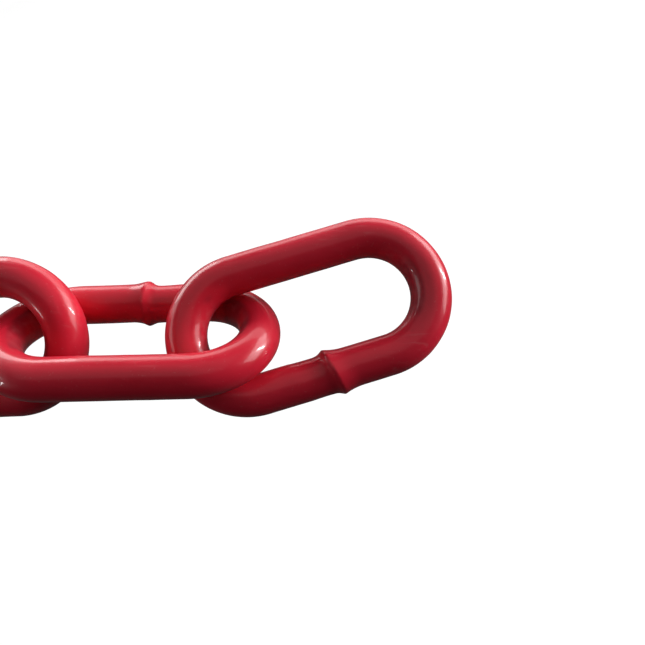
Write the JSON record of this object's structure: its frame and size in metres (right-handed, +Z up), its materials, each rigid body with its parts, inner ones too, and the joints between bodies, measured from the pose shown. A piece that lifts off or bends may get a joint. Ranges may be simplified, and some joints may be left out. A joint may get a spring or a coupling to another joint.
{
  "type": "coated chain",
  "caption": "Length of red coated welded steel chain lying in a loose curve; every long oval link turns on the next, and a hook or shackle fits its eyes.",
  "frame": {"origin": "centre of the chain's outline as it lies, on the floor under it", "axes": "+Z up; +X toward the free end, link 1, whose side of the chain faces -Y"},
  "size_m": [0.2706, 0.3002, 0.0188],
  "materials": {
    "red_coat": "glossy red enamel baked on welded steel wire"
  },
  "bodies": {
    "link_01": {"link_01": "red_coat"},
    "link_02": {"link_02": "red_coat"},
    "link_03": {"link_03": "red_coat"},
    "link_04": {"link_04": "red_coat"},
    "link_05": {"link_05": "red_coat"},
    "link_06": {"link_06": "red_coat"},
    "link_07": {"link_07": "red_coat"},
    "link_08": {"link_08": "red_coat"},
    "link_09": {"link_09": "red_coat"},
    "link_10": {"link_10": "red_coat"},
    "link_11": {"link_11": "red_coat"},
    "link_12": {"link_12": "red_coat"},
    "link_13": {"link_13": "red_coat"},
    "link_14": {"link_14": "red_coat"},
    "link_15": {"link_15": "red_coat"},
    "link_16": {"link_16": "red_coat"},
    "link_17": {"link_17": "red_coat"},
    "link_18": {"link_18": "red_coat"},
    "link_19": {"link_19": "red_coat"},
    "link_20": {"link_20": "red_coat"},
    "link_21": {"link_21": "red_coat"},
    "link_22": {"link_22": "red_coat"}
  },
  "joints": [
    {"name": "joint_01_02", "type": "hinge", "parent": "link_01", "child": "link_02", "pos_m": [0.05588, -0.13848, 0.007], "axis": [0.129, -0.4221, 0.8973], "range_deg": [-70, 70]},
    {"name": "joint_02_03", "type": "hinge", "parent": "link_02", "child": "link_03", "pos_m": [0.02142, -0.13903, 0.01146], "axis": [-0.0221, -0.674, 0.7384], "range_deg": [-70, 70]},
    {"name": "joint_03_04", "type": "hinge", "parent": "link_03", "child": "link_04", "pos_m": [-0.00702, -0.13704, 0.00932], "axis": [-0.0035, -0.7385, -0.6742], "range_deg": [-70, 70]},
    {"name": "joint_04_05", "type": "hinge", "parent": "link_04", "child": "link_05", "pos_m": [-0.03535, -0.12972, 0.00928], "axis": [0.1723, 0.7464, -0.6428], "range_deg": [-70, 70]},
    {"name": "joint_05_06", "type": "hinge", "parent": "link_05", "child": "link_06", "pos_m": [-0.06152, -0.11667, 0.00928], "axis": [0.3237, 0.6943, 0.6428], "range_deg": [-70, 70]},
    {"name": "joint_06_07", "type": "hinge", "parent": "link_06", "child": "link_07", "pos_m": [-0.08442, -0.09846, 0.00928], "axis": [-0.461, -0.6118, 0.6428], "range_deg": [-70, 70]},
    {"name": "joint_07_08", "type": "hinge", "parent": "link_07", "child": "link_08", "pos_m": [-0.10302, -0.0759, 0.00928], "axis": [-0.5781, -0.5026, -0.6428], "range_deg": [-70, 70]},
    {"name": "joint_08_09", "type": "hinge", "parent": "link_08", "child": "link_09", "pos_m": [-0.11653, -0.04995, 0.00928], "axis": [0.67, 0.3714, -0.6428], "range_deg": [-70, 70]},
    {"name": "joint_09_10", "type": "hinge", "parent": "link_09", "child": "link_10", "pos_m": [-0.12435, -0.02177, 0.00928], "axis": [0.7326, 0.224, 0.6428], "range_deg": [-70, 70]},
    {"name": "joint_10_11", "type": "hinge", "parent": "link_10", "child": "link_11", "pos_m": [-0.12614, 0.00743, 0.00928], "axis": [-0.7631, -0.0668, 0.6428], "range_deg": [-70, 70]},
    {"name": "joint_11_12", "type": "hinge", "parent": "link_11", "child": "link_12", "pos_m": [-0.12182, 0.03636, 0.00928], "axis": [-0.7603, 0.0934, -0.6428], "range_deg": [-70, 70]},
    {"name": "joint_12_13", "type": "hinge", "parent": "link_12", "child": "link_13", "pos_m": [-0.11158, 0.06376, 0.00928], "axis": [0.7243, -0.2494, -0.6428], "range_deg": [-70, 70]},
    {"name": "joint_13_14", "type": "hinge", "parent": "link_13", "child": "link_14", "pos_m": [-0.09586, 0.08843, 0.00928], "axis": [0.6566, -0.3945, 0.6428], "range_deg": [-70, 70]},
    {"name": "joint_14_15", "type": "hinge", "parent": "link_14", "child": "link_15", "pos_m": [-0.07537, 0.10929, 0.00928], "axis": [-0.5602, 0.5224, 0.6428], "range_deg": [-70, 70]},
    {"name": "joint_15_16", "type": "hinge", "parent": "link_15", "child": "link_16", "pos_m": [-0.05097, 0.12544, 0.00928], "axis": [-0.4394, 0.6275, -0.6428], "range_deg": [-70, 70]},
    {"name": "joint_16_17", "type": "hinge", "parent": "link_16", "child": "link_17", "pos_m": [-0.02376, 0.13616, 0.00928], "axis": [0.2993, -0.7051, -0.6428], "range_deg": [-70, 70]},
    {"name": "joint_17_18", "type": "hinge", "parent": "link_17", "child": "link_18", "pos_m": [0.00509, 0.14099, 0.00928], "axis": [0.1462, -0.752, 0.6428], "range_deg": [-70, 70]},
    {"name": "joint_18_19", "type": "hinge", "parent": "link_18", "child": "link_19", "pos_m": [0.03431, 0.13972, 0.00928], "axis": [0.0134, 0.7659, 0.6428], "range_deg": [-70, 70]},
    {"name": "joint_19_20", "type": "hinge", "parent": "link_19", "child": "link_20", "pos_m": [0.06263, 0.1324, 0.00928], "axis": [0.1723, 0.7464, -0.6428], "range_deg": [-70, 70]},
    {"name": "joint_20_21", "type": "hinge", "parent": "link_20", "child": "link_21", "pos_m": [0.08881, 0.11935, 0.00928], "axis": [-0.3237, -0.6943, -0.6428], "range_deg": [-70, 70]},
    {"name": "joint_21_22", "type": "hinge", "parent": "link_21", "child": "link_22", "pos_m": [0.1117, 0.10114, 0.00928], "axis": [-0.461, -0.6118, 0.6428], "range_deg": [-70, 70]}
  ]
}
